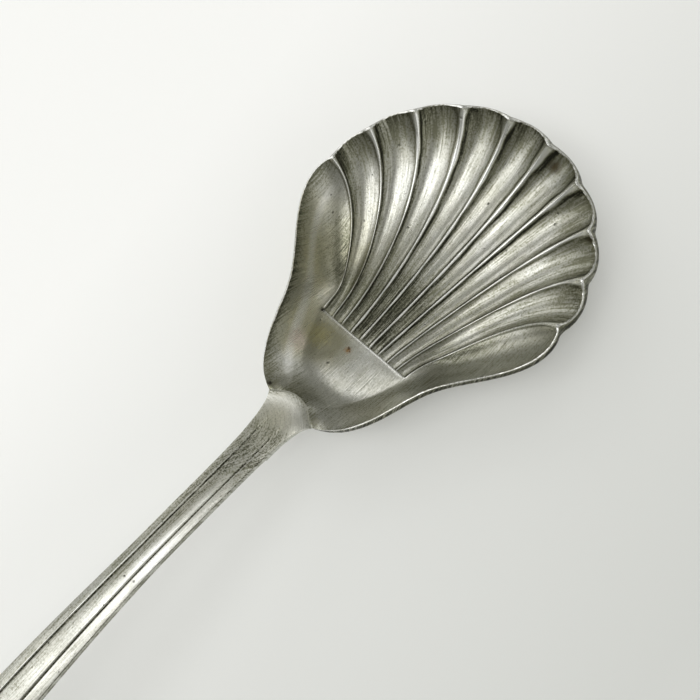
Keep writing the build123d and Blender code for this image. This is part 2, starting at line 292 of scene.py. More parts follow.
# 0 on the ribs and 1 in the middle of a flute: a power curve of the side, which a hyperbola rounds at the ribs
def fluteProfile(v, roundness, steepness):
    side = np.minimum(v, 1 - v)
    soft = np.sqrt(side ** 2 + roundness ** 2) - roundness
    side = 0.5 * soft / (np.sqrt(0.25 + roundness ** 2) - roundness)
    return 1 - np.maximum(1 - 2 * side, 0) ** steepness


# Half width of the bar along each rib, uneven by two sine waves, with a cap that grows as a square near the rim
def barHalfWidth(u, rib):
    b, u = bowlShape, u[:, None]
    broad, broadTurns, broadShift, fine, fineTurns, fineShift = b["barWobble"]
    wobble = broad * np.sin(broadTurns * u + broadShift * rib) + fine * np.sin(fineTurns * u + fineShift * rib)
    wobble = wobble * np.minimum(rib, b["flutes"] - rib).clip(0, 1)  # not on the outermost ribs
    cap = b["capHalfWidth"] * np.maximum((u - b["capStart"]) / (1 - b["capStart"]), 0) ** 2
    return np.interp(u, b["barPlaces"], b["barHalfWidth"]) * np.array(b["barShares"])[rib] * (1 + wobble) + cap


# Its height: a bell curve with a flat top, over the distance from its middle
def barHeight(u, away, halfWidth):
    height = np.interp(u, bowlShape["barPlaces"], bowlShape["barHeight"])[:, None]
    return height * bell(away, halfWidth, 4)


# Thickening of the wall below the rim: a square that fades out over the reach of the lip
def lipFlare(fromRim):
    return -bowlShape["lip"] * np.maximum(1 - fromRim / bowlShape["lipReach"], 0) ** 2


# Dirt and painted shade beside a bar: a narrow bell curve around its foot
def creaseGrimeAndShade(u, away, halfWidth):
    width = np.interp(u, (0, 1), bowlGrimeAndShading["creaseWidth"])[:, None]
    return bell(away - bowlGrimeAndShading["creaseFoot"] * halfWidth, width)


# 0 in the middle of a bar and 1 beyond its half width: a fourth power of the distance
def besideBar(away, halfWidth):
    return np.minimum(away / halfWidth, 1) ** 4


# Rubbed top of a bar with a painted highlight on it: a bell curve with a flat top
def barHighlight(away, halfWidth):
    return bowlGrimeAndShading["barHighlight"] * bell(away, bowlGrimeAndShading["barHighlightWidth"] * halfWidth, 6)


# Grime and painted light of a fan column: dirt and painted shade in the crease, painted shade on the side of the flute
# beside a rib, darker near the hinge line and under the rim, a painted highlight on the bar
def fanGrimeAndShading(u, q, flute, fromRim, fromRib, halfWidth):
    g = {key: np.array(value) for key, value in bowlGrimeAndShading.items()}
    rib, v = np.rint(q).astype(int), q - flute
    crease = np.where(q >= rib, g["creaseAfter"][rib], g["creaseBefore"][rib])
    crease = np.minimum(g["creaseGain"] * crease * creaseGrimeAndShade(u, fromRib, halfWidth), 1)
    # painted shade on the side of the flute turned from the light
    hollow = g["flankShadeAfter"][flute] * np.maximum(1 - v / g["flankShadeReach"], 0)
    hollow += g["flankShadeBefore"][flute] * np.maximum(1 - (1 - v) / g["flankShadeReach"], 0)
    hollow = hollow * np.interp(u, g["flankShadePlaces"], g["flankShadeShare"])[:, None]
    deep = g["deep"][flute] * np.interp(u, g["deepPlaces"], g["deepShare"])[:, None]
    deep = np.maximum(deep, g["film"][flute])
    tip = g["tip"][flute] * bell(fromRim, g["tipReach"]) * (1 - g["tipSlant"] * v)
    beside = besideBar(fromRib, halfWidth)
    clean = (1 - crease) * (1 - hollow * beside) * (1 - deep * beside) * (1 - tip * beside)
    return 1 - clean - barHighlight(fromRib, halfWidth)


# Fan: a smooth sheet of ridge lines, pushed from there to the middle of each flute by the flute profile
def fanGrid(u, q, back):
    b, ridgesAt = bowlShape, lambda share: bezierCurve(ridgeControls(share, back), u)
    flute = np.minimum(q.astype(int), b["flutes"] - 1)
    edges = ridgesAt(fanShare(np.arange(b["flutes"] + 1)))
    middle = fanShare(np.arange(b["flutes"]) + 0.5)
    depth = bezierCurve(outAndDown(middle, b["fluteOut"], b["fluteDown"]), u) * (b["ribShare"] if back else 1)
    push = (edges[:, :-1] + edges[:, 1:]) / 2 + depth - ridgesAt(middle)
    width = distance(edges[:, 1:], edges[:, :-1])[:, flute]
    rounding, steepness = (np.interp(u, b["ribPlaces"], b[key])[:, None] for key in ("ribRound", "ribSteep"))
    v = q - flute
    profile = fluteProfile(v, rounding / width, steepness)[..., None]
    points = ridgesAt(fanShare(q)) + profile * push[:, flute]
    along = np.concatenate([np.zeros((1, len(q))), np.cumsum(distance(points[1:], points[:-1]), 0)])
    across = np.broadcast_to(q * b["fluteBrush"], along.shape)
    brush = np.stack([across, along + hingeX, 0 * along], -1)
    fromRim, fromRib = along[-1] - along, np.minimum(v, 1 - v) * width
    grid = {"points": points, "brush": brush, "grime": np.asarray(bowlGrimeAndShading["back"]), "fromRim": fromRim}
    if not back:
        halfWidth = barHalfWidth(u, np.rint(q).astype(int))
        points += outAndDown(fanShare(q), (1,), (0,)) * lipFlare(fromRim)[..., None]
        points[..., 2] += barHeight(u, fromRib, halfWidth)
        grid["grime"] = fanGrimeAndShading(u, q, flute, fromRim, fromRib, halfWidth)
    return grid


# Wing: rows of four control points from the rim to the outermost ridge, by shares of the way and of the height;
# on the back each column is moved by an offset times the sheet's thickness
def wingControls(back):
    w, h = wingShape, heelShape
    ridge = ridgeControls(np.ones(1), False)[:, 0]
    rimX = [0, w["rimLead"], w["waist"][0], w["crest"][0], 0]
    rimY = [w["hingeRimHalfWidth"], w["hingeRimHalfWidth"] + w["rimFlare"], w["waist"][1], w["crest"][1], 0]
    rimZ = bowlShape["rimHeight"] - w["dip"] * np.array(w["dipShares"])
    rim = np.stack([rimX, rimY, rimZ], -1) + atHinge
    rim[4] = ridge[4] + [-w["notchGap"], w["notchGap"], 0]
    run = ridge - rim
    rows = np.stack([rim, rim + run * w["upperShare"], rim + run * w["lowerShare"], ridge], 1)
    rows[:, 1, 2] = ridge[:, 2] - run[:, 2] * w["wallRise"]
    rows[:, 2, 2] = ridge[:, 2] - w["hollow"]
    rows[0, 1] = (hingeX,) + w["heelSide"]
    rows[0, 2] = (hingeX,) + w["heelFoot"]
    if back:
        rows[:, 0] += h["rimEdge"]
        rows[:, 1:3] += np.array([w["wallOffset"], w["footOffset"]]) * h["sheet"]
        rows[:, 3] = ridgeControls(np.ones(1), True)[:, 0]
    rows[4] = np.linspace(rows[4, 0], rows[4, 3], 4)
    return rows


# Left part of the bowed joint line, as control points
def jointControls():
    h = heelShape
    x = h["bow"] * np.array(h["bowShares"])
    y = h["neckHalfWidth"] * np.array(h["widthShares"])
    return np.stack([x, y, np.full(4, h["neckHeight"])], -1) + atNeck


# Side of the heel: starts as the wing does, mirrored at the hinge line, and ends on the joint line
def heelSideControls(back):
    h, wing = heelShape, wingControls(back)
    wall = np.stack([np.full(3, h["wallSetback"]), h["wallHalfWidths"], h["wallHeights"]], -1)
    shoulder = np.vstack([(*h["shoulder"], bowlShape["rimHeight"]), wall]) + atNeck
    last = jointControls()
    if back:
        shoulder[0] += h["rimEdge"]
        shoulder[1:] += np.array(h["backOffset"]) * h["sheet"]
        last[:, 2] = tabBottom
    return np.stack([wing[0], 2 * wing[0] - wing[1], shoulder, last])


# Floor of the heel: carries on the slope of its sides and mirrors it
def heelFloorControls(side):
    edge = side[:, 3]
    inner = edge + (edge - side[:, 2]) * heelShape["floorRun"]
    return np.stack([edge, inner, inner * mirrorY, edge * mirrorY], 1)


# How far the polished edge beside the joint line lies lower: a square that fades out over its reach
def edgeDrop(away):
    return heelShape["edgeSoft"] * np.maximum(1 - away / heelShape["edgeSoftReach"], 0) ** 2


# Darker on the heel beside the tongue: a bell curve over the distance from the joint line
def jointDarkening(away):
    return bowlGrimeAndShading["joint"] * bell(away, bowlGrimeAndShading["jointReach"])


# Painted shade of one side alone, with a painted highlight where an amount is below 0: the sum of a bell curve for each
# band
def bandShading(fromRim, bands):
    return sum(amount * bell(fromRim - place, reach) for amount, place, reach in bands)


# Wing or side of the heel, with the lip of the rim, and the bar of the outermost rib beside the wing
def sideGrid(controls, u, v, back, ribLine=None):
    g, points = bowlGrimeAndShading, bezierSheet(controls, u, v)
    if back:
        return plainGrid(points, g["back"])
    rowFade = fadeOut(u[:, None])
    fromRim = distance(points, points[:, :1])
    grime = g["wingRim"] * bell(fromRim, g["wingReach"])
    flare = lipFlare(fromRim) * fadeOut(v)
    left, right = (bandShading(fromRim, g[key]) * rowFade for key in ("leftShading", "rightShading"))
    if ribLine is None:
        flare *= rowFade
        fromJoint = distance(points, points[-1:])
        points[..., 2] -= edgeDrop(fromJoint)
        grime = np.maximum(grime, jointDarkening(fromJoint))
    else:
        fromRib = distance(points, points[:, -1:])
        halfWidth = barHalfWidth(u, np.zeros(1, int))
        flare = np.minimum(flare, lipFlare(ribLine)[:, None])
        points[..., 2] += barHeight(u, fromRib, halfWidth)
        foot = g["wingFoot"] * np.interp(u, g["wingFootPlaces"], g["wingFootShare"])[:, None]
        foot = foot * bell(fromRib, g["wingFootReach"])
        crease = g["creaseBefore"][0] * creaseGrimeAndShade(u, fromRib, halfWidth)
        grime = np.maximum(np.maximum(grime, foot) * besideBar(fromRib, halfWidth), crease)
        grime -= barHighlight(fromRib, halfWidth)
    points += outAndDown(np.ones(1), (1,), (0,))[0] * flare[..., None]
    grid = plainGrid(points, grime + left)
    grid["rightGrime"] = grime + right
    return grid


# Upper face or back of the bowl; the heel's front edge rises as t e^(1-t) over the distance t from the hinge line
def bowlHalf(back):
    u = 1 - np.linspace(1, 0, steps["along"] + 1) ** steps["rimCrowding"]
    v = closeEnds(steps["wing"])
    h, flutes, side = heelShape, bowlShape["flutes"], heelSideControls(back)
    q = (np.arange(flutes)[:, None] + closeEnds(steps["flute"])[None, :-1]).ravel()
    q = np.append(q, float(flutes))
    fan = fanGrid(u, q, back)
    wing = sideGrid(wingControls(back), u, v, back, fan["fromRim"][:, 0])
    heelU = closeEnds(steps["heel"])
    floor = heelFloorControls(side)
    t = np.linspace(0, 1, steps["floorSamples"])
    hingeY = bowlShape["hingeHalfWidth"] * fanShare(q)  # the floor's columns start where the flutes' do
    floorPoints = bezierSheet(floor, heelU, np.interp(-hingeY, -bezierCurve(floor[0], t)[:, 1], t))
    floorGrimeAndShading = bowlGrimeAndShading["back"]
    if not back:
        fromHinge = distance(floorPoints, floorPoints[:1]) / h["hingeLipReach"]
        fromJoint = distance(floorPoints, floorPoints[-1:])
        lip = np.exp(-fromHinge)
        raised = h["hingeLip"] * np.e * (1 - np.abs(fanShare(q)) ** h["hingeLipEnds"])
        floorPoints[..., 2] += raised * fromHinge * lip - edgeDrop(fromJoint)
        # painted highlight along the heel's front edge, darker beside the tongue
        floorGrimeAndShading = jointDarkening(fromJoint) - bowlGrimeAndShading["hingeHighlight"] * lip
    return {"fan": fan, "wing": wing, "side": sideGrid(side, heelU, v, back),
            "floor": plainGrid(floorPoints, floorGrimeAndShading)}


# Both halves and their mirrored sides, joined by the step at the hinge line, the rim and the joint's end
def makeBowl():
    top, back = bowlHalf(False), bowlHalf(True)
    # painted highlight on the rim's inner edge, darker on its outer face
    onRim = np.array(bowlGrimeAndShading["rimFace"], float)[:, None]
    grids = []
    for half in (top, back):
        step = np.linspace(half["fan"]["points"][0], half["floor"]["points"][0], steps["wall"] + 1)
        grids += [half["fan"], half["floor"], plainGrid(step, bowlGrimeAndShading["hingeWall"])]
        for key in ("wing", "side"):
            rightGrime = half[key].get("rightGrime", half[key]["grime"])
            grids += [half[key], plainGrid(half[key]["points"] * mirrorY, rightGrime)]
    strip = lambda key, line: rimStrip(top[key]["points"][line], back[key]["points"][line])
    edge, end = np.s_[:, 0], np.s_[-1]
    grids.append(plainGrid(strip("fan", end), onRim))
    for key, line in (("wing", edge), ("wing", end), ("side", edge)):
        grids += [plainGrid(strip(key, line) * side, onRim) for side in (1, mirrorY)]
    # an upright end needs no second row of the rim's profile, which would lie on the first
    joint, middle = (np.delete(strip(key, end), 1, 0) for key in ("side", "floor"))
    grids += [plainGrid(joint), plainGrid(joint * mirrorY), plainGrid(middle)]
    for grid in grids:
        np.maximum(grid["points"][..., 2], 0, out=grid["points"][..., 2])  # ribs worn flat on the table
    grids += tabGrids()
    return weldedPiece("shellBowl", grids)


# Joint line in plan, sampled from the left edge to the right edge of the neck
def jointLine(count=40):
    side = jointControls()
    floor = heelFloorControls(side[None])[0]
    t = np.linspace(0, 1, count + 1)
    left, middle = bezierCurve(side, t), bezierCurve(floor, t)
    return np.concatenate([left[:-1], middle, (left * mirrorY)[::-1][1:]])


# Closed outline of x and z offsets carried along the joint line, which straightens and narrows towards the tab's end;
# strips between its upper and lower points close both ends
def jointSweep(outline):
    j, line, half = jointShape, jointLine(), len(outline) // 2
    away, height = np.array(outline + outline[:1]).T[..., None]
    reach = np.maximum(-away, 0)
    halfWidth = handleHalfWidth(reach) - j["tabMargin"] * np.minimum(reach / j["tabGap"], 1)
    x = neckX + (line[:, 0] - neckX) * (1 - np.minimum(reach / j["tabLength"], 1)) + away
    y = line[:, 1] * (halfWidth / heelShape["neckHalfWidth"])
    loop = np.stack(np.broadcast_arrays(x, y, height), -1)
    ends = [np.stack([loop[:half, k], loop[half:-1, k][::-1]]) for k in (0, -1)]
    return [plainGrid(points) for points in [loop] + ends]


# Tab under the tongue: the joint line swept back, level above and below
def tabGrids():
    j = jointShape
    reaches = np.linspace(j["tabOverlap"], -j["tabLength"], steps["tab"])
    outline = [(away, tabTop) for away in reaches] + [(away, tabBottom) for away in reaches[::-1]]
    return jointSweep(outline)


# Solder: the film between tab and tongue, swept the same way, and turned up to the surface at the joint line
def makeSeam():
    j = jointShape
    top = heelShape["neckHeight"] - heelShape["edgeSoft"] - j["sunk"]
    rise = 2 * heelShape["edgeSoft"] / heelShape["edgeSoftReach"] * j["film"]  # follows the rounded edge
    reaches = np.linspace(-j["film"], -j["tabLength"], steps["tab"])
    upper = [(-j["film"], top + rise)] + [(away, tongueBottom) for away in reaches]
    lower = [(away, tabTop) for away in reaches[::-1]] + [(0.0, top)]
    lower[-2] = (0.0, tabTop)
    return weldedPiece("solderSeam", jointSweep(upper + lower))


# Handle: a tongue, a slim stem and a blade that widens to a rounded end, carried along an arch
handleShape = {
    "archReach": (0, 6.4, 42.6, 69.6, 80.6, handleLength),  # quintic arch of its top, from the neck
    "archHeight": (9.2, 9.2, 22.2, 23.3, 9.0, 1.5),
    "stemHalfWidth": 2.25, "stemThickness": 2.7, "flareLength": 3.0,
    "bladeHalfWidth": 5.4, "bladeThickness": 1.6, "widenStart": 26.0, "widenPower": 1.1,
    "endRound": 8.0, "endGap": 0.004,  # the sections end in a fine strip
    "sideWallShare": 0.45,
    "edgeDrop": 0.4,  # outer bevels slope down to the edges
    "crown": 0.12,
    "lineShare": 0.46,  # engraved lines, as a share of the half width
    "lineHalfWidth": 0.2,
    "lineLimit": 0.4,  # and at most this share of their distance from the middle
    "lineDepth": 0.2, "lineStart": 3.2, "lineFade": 2.5,
    "bevelStart": 5.0, "bevelFade": 6.0,
    "inside": 0.015,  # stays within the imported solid
    "edgeRound": 0.14, "lipRound": 0.05,
    "tongueTurn": 1.2, "tongueReach": 8.0,  # brush marks turn crosswise on the tongue
}
# Grime and painted light along the handle at distances from the neck; below 0 is a painted highlight
handleGrimeAndShading = {
    "places": (0, 0.9, 2.5, 4.5, 8, 11, 16, 24, 34, 60),
    "neck": (0.4, -0.2, -0.1, 0.42, 0.48, 0.4, 0.25, 0.05, 0, 0),
    # painted shade on the left bevel and the left of the panel, painted highlight below 0 on the right of the panel and
    # the right bevel
    "leftBevel": (0, 0, 0, 0, 0.1, 0.2, 0.35, 0.35, 0.25, 0.2),
    "panelLeft": (0, 0, 0, 0.1, 0.2, 0.3, 0.35, 0.35, 0.25, 0.1),
    "panelRight": (0, 0, 0, 0.1, 0.1, 0, -0.35, -0.4, -0.05, 0),
    "rightBevel": (0, 0, 0, 0.15, 0.15, 0.1, -0.2, -0.4, -0.05, 0),
    # dirt in the engraved lines, a painted highlight on their lips, darker side walls, painted shade along the right
    # edge
    "lines": 1.0, "lineLips": -0.7, "sideWalls": 0.6, "rightEdge": 0.7,
}
# Points of a section counted from either edge, three to a corner: wall, edge, outer lip, line, inner lip
handleColumns = {
    "sideWalls": slice(1, 3), "edge": 3, "rightEdge": slice(4, 5), "leftBevel": slice(4, 7), "rightBevel": slice(5, 9),
    "lineLips": slice(7, 8), "lines": slice(9, 12), "panel": 12,
    "panelTurn": (2, 6),  # left wear turns to right: points before the middle, and how many in all
}


# Half width: stem, plus a flare that dies out from the neck, plus a power of the way along the blade
def handleHalfWidth(reach):
    h = handleShape
    flare = (heelShape["neckHalfWidth"] - h["stemHalfWidth"]) * np.exp(-reach / h["flareLength"])
    widened = np.maximum(reach - h["widenStart"], 0) / (handleLength - h["widenStart"])
    halfWidth = h["stemHalfWidth"] + flare + (h["bladeHalfWidth"] - h["stemHalfWidth"]) * widened ** h["widenPower"]
    toEnd = np.minimum((handleLength - reach) / h["endRound"], 1)
    return halfWidth * np.sqrt(1 - (1 - toEnd) ** 2)


# Corners of a profile cut by three points of a parabola, at most the given distance from each corner
def roundedCorners(corners, radius, limit=0.45):
    before, after = np.roll(corners, 1, 1) - corners, np.roll(corners, -1, 1) - corners
    before[:, 0] = after[:, -1] = 0
    reachOf = lambda side: np.minimum(radius / np.maximum(distance(side, 0), 1e-9), limit)[..., None]
    first, last = corners + before * reachOf(before), corners + after * reachOf(after)
    middle = corners / 2 + (first + last) / 4
    return np.stack([first, middle, last], 2).reshape(len(corners), -1, 2)


# Rises from 0 at a start towards 1, by one less a falling power of e
def fadeIn(reach, start, length):
    return 1 - np.exp(-np.maximum(reach - start, 0) / length)


# Top of the sections, left edge to right edge: wall, bevel, engraved line, crowned panel, line, bevel, wall
def handleTop(reach, top):
    h = handleShape
    fade = fadeIn(reach, h["bevelStart"], h["bevelFade"])
    thickness = h["stemThickness"] + (h["bladeThickness"] - h["stemThickness"]) * reach / handleLength
    halfWidth = handleHalfWidth(reach)
    edgeZ = top - h["edgeDrop"] * fade
    wallZ = edgeZ - thickness * h["sideWallShare"]
    lipZ = top - h["crown"] * fade
    lineZ = lipZ - h["lineDepth"] * fadeIn(reach, h["lineStart"], h["lineFade"])
    lineY = halfWidth * h["lineShare"]
    groove = np.minimum(h["lineHalfWidth"], lineY * h["lineLimit"])
    leftY = np.stack([halfWidth, halfWidth, lineY + groove, lineY, lineY - groove], 1)
    leftZ = np.stack([wallZ, edgeZ, lipZ, lineZ, lipZ], 1)
    radius = np.array([h["edgeRound"]] * 2 + [h["lipRound"]] * 3)
    left = roundedCorners(np.stack([leftY, leftZ], -1), radius)
    across = np.linspace(1, 0, steps["panel"] + 1)[None, 1:] * left[:, -1:, 0]
    crownZ = top[:, None] - (top - left[:, -1, 1])[:, None] * (across / left[:, -1:, 0]) ** 2
    left = np.concatenate([left, np.stack([across, crownZ], -1)], 1)
    right = left[:, -2::-1] * [-1, 1]
    return np.concatenate([left, right], 1), halfWidth, wallZ, top - thickness


# Grime and painted light by column: painted shade and painted highlight on the bevels and the panel, then lips, lines
# and walls as these fade in
def topGrimeAndShading(reach, count, total):
    g, c, h = handleGrimeAndShading, handleColumns, handleShape
    tableAtReach = {key: np.interp(reach, g["places"], g[key])[:, None] for key in g if np.ndim(g[key])}
    lines = fadeIn(reach, h["lineStart"], h["lineFade"])[:, None]
    bevels = fadeIn(reach, h["bevelStart"], h["bevelFade"])[:, None]
    grime = np.zeros((len(reach), total))
    fromLeft = grime[:, :count]
    fromRight = fromLeft[:, ::-1]
    panel = np.arange(c["panel"], count - c["panel"])
    before, turn = c["panelTurn"]
    toRight = np.clip((panel - count // 2 + before) / turn, 0, 1)
    # painted shade on the left of the panel, turning to a painted highlight on its right
    fromLeft[:, panel] = tableAtReach["panelLeft"] * (1 - toRight) + tableAtReach["panelRight"] * toRight
    fromLeft[:, c["leftBevel"]] = tableAtReach["leftBevel"]
    fromRight[:, c["rightBevel"]] = tableAtReach["rightBevel"]
    fromLeft[:, c["edge"]:-c["edge"]] += tableAtReach["neck"]
    for side in (fromLeft, fromRight):
        for key, fade in (("lineLips", bevels), ("lines", lines), ("sideWalls", bevels)):
            side[:, c[key]] += (g[key] - side[:, c[key]]) * fade
    fromRight[:, c["rightEdge"]] += g["rightEdge"] * bevels
    return grime


# Sections along the arch, closed below by a half wave; near the neck they are cut for the tab and bowed as the joint is
def makeHandle():
    h, j = handleShape, jointShape
    notch, tongue = j["tabLength"] + j["tabGap"], steps["tongue"]
    toEnd = h["endRound"] * (1 - np.sin(np.linspace(0, np.pi / 2, steps["end"])))
    toEnd[-1] = h["endGap"]
    stem = np.linspace(notch, handleLength - h["endRound"], steps["stem"])[:-1]
    reach = np.concatenate([notch * np.linspace(0, 1, tongue) ** 2, stem, handleLength - toEnd])
    t = np.linspace(0, 1, steps["archSamples"])
    arch = bezierCurve(np.stack([h["archReach"], h["archHeight"]], -1).astype(float), t)
    top = np.interp(reach, arch[:, 0], arch[:, 1]) - h["inside"]
    upper, halfWidth, wallZ, bottomZ = handleTop(reach, top)
    count = upper.shape[1]
    wave = np.sin(np.linspace(1, -1, count)[None] * np.pi / 2)
    lowerZ = bottomZ[:, None] + (wallZ - bottomZ)[:, None] * wave ** 2
    loop = np.concatenate([upper, np.stack([halfWidth[:, None] * wave, lowerZ], -1)[:, ::-1]], 1)
    loop[:tongue, :, 1] = np.maximum(loop[:tongue, :, 1], tongueBottom)
    softened = loop[:, :count, 1] - edgeDrop(reach)[:, None]
    loop[:, :count, 1] = np.maximum(softened, tongueBottom * (reach < notch)[:, None])
    line = jointLine()
    bow = np.interp(-loop[..., 0], -line[:, 1], line[:, 0] - neckX)
    bowLeft = np.maximum(1 - reach / notch, 0)[:, None]
    x = neckX - reach[:, None] + (bow - j["film"]) * bowLeft
    points = np.stack([x, loop[..., 0], np.maximum(loop[..., 1], 0)], -1)
    loops = plainGrid(np.concatenate([points, points[:, :1]], 1), topGrimeAndShading(reach, count, points.shape[1] + 1))
    turn = h["tongueTurn"] * bell(reach, h["tongueReach"])[:, None]
    across, along = loops["points"][..., 1], reach[:, None]
    loops["brush"] = np.stack([across * np.cos(turn) + along * np.sin(turn),
                               along * np.cos(turn) - across * np.sin(turn), loops["points"][..., 2]], -1)
    caps = [plainGrid(np.stack([points[k, :count], points[k, count:][::-1]])) for k in (0, -1)]
    return weldedPiece("archedHandle", [loops] + caps)


bowl = makeBowl()
handle = makeHandle()
seam = makeSeam()


# Values or links for named inputs; colours get their fourth value here
def setInputs(tree, node, inputs):
    for key, value in inputs.items():
        socket = node.inputs[key]
        if isinstance(value, bpy.types.NodeSocket):
            tree.links.new(value, socket)
        else:
            socket.default_value = (*value, 1) if socket.type == "RGBA" else value


# Node of a material or group in one line: kind, inputs and settings
def addNode(tree, kind, inputs=None, **settings):
    node = tree.nodes.new(kind)
    for key, value in settings.items():
        setattr(node, key, value)
    setInputs(tree, node, inputs or {})
    return node


def maths(tree, operation, first, second, clamp=False):
    return addNode(tree, "ShaderNodeMath", {0: first, 1: second}, operation=operation, use_clamp=clamp).outputs[0]


def remap(tree, value, fromMin, fromMax, toMin, toMax):
    return addNode(tree, "ShaderNodeMapRange", {"Value": value, "From Min": fromMin, "From Max": fromMax,
                                                "To Min": toMin, "To Max": toMax}).outputs[0]


def mixColour(tree, share, first, second):
    return addNode(tree, "ShaderNodeMix", {0: share, 6: first, 7: second}, data_type="RGBA").outputs[2]


# Group with a vector and some numbers as inputs, and one number as output
def newGroup(name, output, **numbers):
    group = bpy.data.node_groups.new(name, "ShaderNodeTree")
    group.interface.new_socket("Vector", in_out="INPUT", socket_type="NodeSocketVector")
    for label, value in numbers.items():
        group.interface.new_socket(label, in_out="INPUT", socket_type="NodeSocketFloat").default_value = value
    group.interface.new_socket(output, in_out="OUTPUT", socket_type="NodeSocketFloat")
    return group, addNode(group, "NodeGroupInput").outputs, addNode(group, "NodeGroupOutput").inputs[output]


# Fine scratches: noise stretched along the brushing direction
def brushMarksGroup():
    group, given, out = newGroup("brushMarks", "Marks", Width=0.1, Length=3.0)
    across, along = (maths(group, "DIVIDE", 1.0, given[key]) for key in ("Width", "Length"))
    scale = addNode(group, "ShaderNodeCombineXYZ", {"X": across, "Y": along}).outputs[0]
    place = addNode(group, "ShaderNodeVectorMath", {0: given["Vector"], 1: scale}, operation="MULTIPLY").outputs[0]
    noise = addNode(group, "ShaderNodeTexNoise", {"Vector": place, "Scale": 1.0, "Detail": 3.0, "Roughness": 0.6})
    group.links.new(noise.outputs[0], out)
    return group


# Cloudy noise of the given size, spread to the whole range from 0 to 1
def cloudsGroup():
    group, given, out = newGroup("clouds", "Clouds", Size=8.0, Detail=4.0)
    scale, low, high = maths(group, "DIVIDE", 1.0, given["Size"]), 0.3, 0.7  # the noise lies mostly between these
    noise = addNode(group, "ShaderNodeTexNoise", {"Vector": given["Vector"], "Scale": scale,
                                                  "Detail": given["Detail"], "Roughness": 0.6})
    group.links.new(remap(group, noise.outputs[0], low, high, 0.0, 1.0), out)
    return group


# Small pits: cells of the given size, of which a share holds a dark round dot
def pitsGroup():
    group, given, out = newGroup("wornPits", "Pits", Cell=2.0, Share=0.3)
    core, smallest, largest = 0.01, 0.05, 0.15  # dark middle and edge of the dots, in cells
    scale = maths(group, "DIVIDE", 1.0, given["Cell"])
    cells = addNode(group, "ShaderNodeTexVoronoi", {"Vector": given["Vector"], "Scale": scale}).outputs
    chance = addNode(group, "ShaderNodeSeparateColor", {"Color": cells["Color"]}).outputs
    kept = maths(group, "LESS_THAN", chance[0], given["Share"])
    size = remap(group, chance[1], 0.0, 1.0, smallest, largest)
    dot = remap(group, cells["Distance"], size, core, 0.0, 1.0)
    group.links.new(maths(group, "MULTIPLY", dot, kept), out)
    return group


groups = {"brush": brushMarksGroup(), "clouds": cloudsGroup(), "pits": pitsGroup()}
print("shader groups made:", ", ".join(sorted(groups)))

# Sizes in millimetres; relief is the height of brush marks, grain and waves, and the depth of pits;
# clouds, specks and streaks are the most tarnish that each of them brings, patches the most patina
# Of these colours the palest is a painted highlight, the darkest is for the darkest dirt, painted shade and pits, and
# the tarnish colour also carries painted shade
bowlFinish = {
    "silver": (0.68, 0.685, 0.655), "tarnishAndShade": (0.21, 0.21, 0.147), "grime": (0.03, 0.03, 0.022),
    "paintedHighlight": (0.88, 0.885, 0.86), "patina": (0.62, 0.605, 0.52),
    "roughness": (0.20, 0.36), "brushWidth": 0.13, "brushLength": 6.0, "grain": 0.25, "wave": 2.6, "cloud": 8.0,
    "clouds": 0.40, "specks": 0.40, "streaks": 0.40, "patch": 5.0, "patches": 0.6, "grimeGrain": (0.76, 1.16),
    "pits": ((1.9, 0.45), (0.6, 0.42)),
    "relief": {"brush": 0.009, "grain": 0.004, "wave": 0.02, "pit": 0.05},
    "spots": (((35.9, 1.2, 2.9), 0.34, (0.04, 0.014, 0.004)), ((35.6, 0.8, 2.95), 0.24, (0.08, 0.025, 0.006)),
              ((35.6, 1.1, 2.95), 0.75, (0.30, 0.19, 0.09)),
              ((34.6, 5.8, 3.7), 2.8, (0.38, 0.355, 0.20)), ((32.0, 7.4, 5.0), 2.6, (0.60, 0.53, 0.45)),
              ((37.7, 8.0, 3.4), 0.6, (0.02, 0.018, 0.013)), ((33.2, 4.2, 3.7), 2.8, (0.31, 0.30, 0.225)),
              # the next three are painted shade in the crevices at the corners of the joint
              ((25.1, 4.6, 8.8), 0.6, (0.04, 0.037, 0.028)), ((25.6, 3.8, 8.85), 1.0, (0.15, 0.145, 0.11)),
              ((25.5, -3.9, 8.85), 1.0, (0.20, 0.195, 0.155)),
              ((36.0, 4.7, 3.1), 0.22, (0.02, 0.018, 0.013)), ((35.2, 5.0, 3.25), 0.2, (0.02, 0.018, 0.013)),
              ((73.0, -5.4, 6.5), 1.3, (0.11, 0.09, 0.055)), ((66.9, -15.9, 8.1), 0.9, (0.08, 0.07, 0.045))),
    "stains": (((35.2, 4.0, 3.2), 5.5, (0.34, 0.325, 0.23)), ((45.0, 14.5, 5.0), 11.0, (0.62, 0.595, 0.43)),
               ((33.0, 8.0, 5.5), 7.0, (0.56, 0.54, 0.39))),
}
handleFinish = {
    "silver": (0.72, 0.725, 0.695), "tarnishAndShade": (0.21, 0.21, 0.152), "grime": (0.02, 0.02, 0.015),
    "paintedHighlight": (0.90, 0.905, 0.88), "patina": (0.67, 0.65, 0.56),
    "roughness": (0.22, 0.38), "brushWidth": 0.13, "brushLength": 6.0, "grain": 0.25, "wave": 3.0, "cloud": 7.0,
    "clouds": 0.35, "specks": 0.35, "streaks": 0.40, "patch": 5.0, "patches": 0.5, "grimeGrain": (0.55, 1.3),
    "pits": ((1.5, 0.4), (0.6, 0.3)),
    "relief": {"brush": 0.009, "grain": 0.007, "wave": 0.015, "pit": 0.05},
    # painted shade in the crevice at the joint's corner
    "spots": (((24.4, 4.1, 9.1), 0.35, (0.03, 0.028, 0.02)),),
    "stains": (((22.5, 0.5, 9.2), 5.0, (0.68, 0.665, 0.56)),),
}
